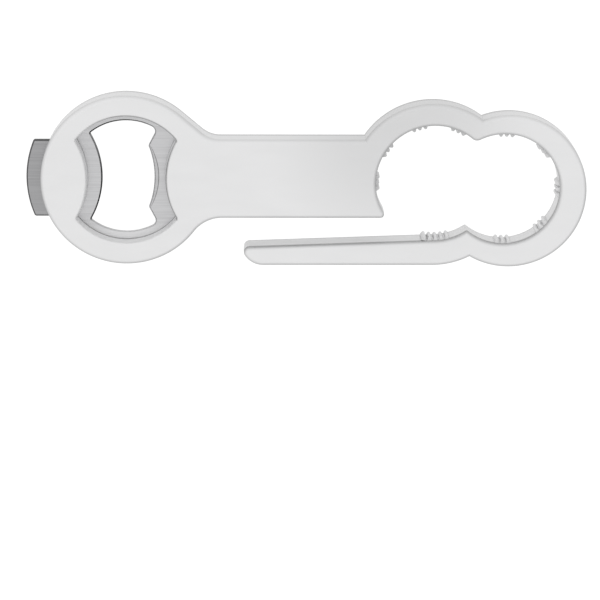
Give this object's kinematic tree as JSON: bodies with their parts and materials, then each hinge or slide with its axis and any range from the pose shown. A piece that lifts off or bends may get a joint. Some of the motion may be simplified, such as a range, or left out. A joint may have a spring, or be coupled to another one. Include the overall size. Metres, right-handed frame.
{
  "type": "nutcracker",
  "caption": "Springy one-piece nutcracker with a toothed jaw ring and bow, a squeeze lever, and a steel opener plate set in the grip's round head.",
  "frame": {"origin": "on the plane the back face rests on, under the middle of the whole outline", "axes": "+X along the tool from the lifter tab to the spring bow, +Y towards the grip's side and away from the squeeze lever, +Z out of the front face"},
  "size_m": [0.19, 0.059, 0.012],
  "materials": {
    "silver_moulding": "satin silver-grey moulded plastic",
    "brushed_steel": "stainless plate brushed along the tool"
  },
  "bodies": {
    "handle": {"handle_frame": "silver_moulding", "opener_plate": "brushed_steel"},
    "bow_length_1": {"bow_link_1": "silver_moulding"},
    "bow_length_2": {"bow_link_2": "silver_moulding"},
    "bow_length_3": {"bow_link_3": "silver_moulding"},
    "bow_length_4": {"bow_link_4": "silver_moulding"},
    "bow_length_5": {"bow_link_5": "silver_moulding"},
    "lever": {"lever_arm": "silver_moulding"}
  },
  "joints": [
    {"name": "bow_flex_1", "type": "hinge", "parent": "handle", "child": "bow_length_1", "pos_m": [0.05826, 0.0175, 0.006], "axis": [0, 0, -1], "range_deg": [-0.44, 0.83], "stiffness_Nm_per_rad": 96},
    {"name": "bow_flex_2", "type": "hinge", "parent": "bow_length_1", "child": "bow_length_2", "pos_m": [0.07615, 0.01811, 0.006], "axis": [0, 0, -1], "range_deg": [-0.83, 1.55], "stiffness_Nm_per_rad": 51},
    {"name": "bow_flex_3", "type": "hinge", "parent": "bow_length_2", "child": "bow_length_3", "pos_m": [0.08858, 0.00598, 0.006], "axis": [0, 0, -1], "range_deg": [-0.55, 1.03], "stiffness_Nm_per_rad": 77},
    {"name": "bow_flex_4", "type": "hinge", "parent": "bow_length_3", "child": "bow_length_4", "pos_m": [0.08855, -0.01177, 0.006], "axis": [0, 0, -1], "range_deg": [-0.44, 0.83], "stiffness_Nm_per_rad": 96},
    {"name": "bow_flex_5", "type": "hinge", "parent": "bow_length_4", "child": "bow_length_5", "pos_m": [0.07569, -0.024, 0.006], "axis": [0, 0, -1], "range_deg": [-0.5, 0.93], "stiffness_Nm_per_rad": 86},
    {"name": "bow_flex_6", "type": "hinge", "parent": "bow_length_5", "child": "lever", "pos_m": [0.05505, -0.02136, 0.006], "axis": [0, 0, -1], "range_deg": [-0.28, 0.52], "stiffness_Nm_per_rad": 154}
  ]
}
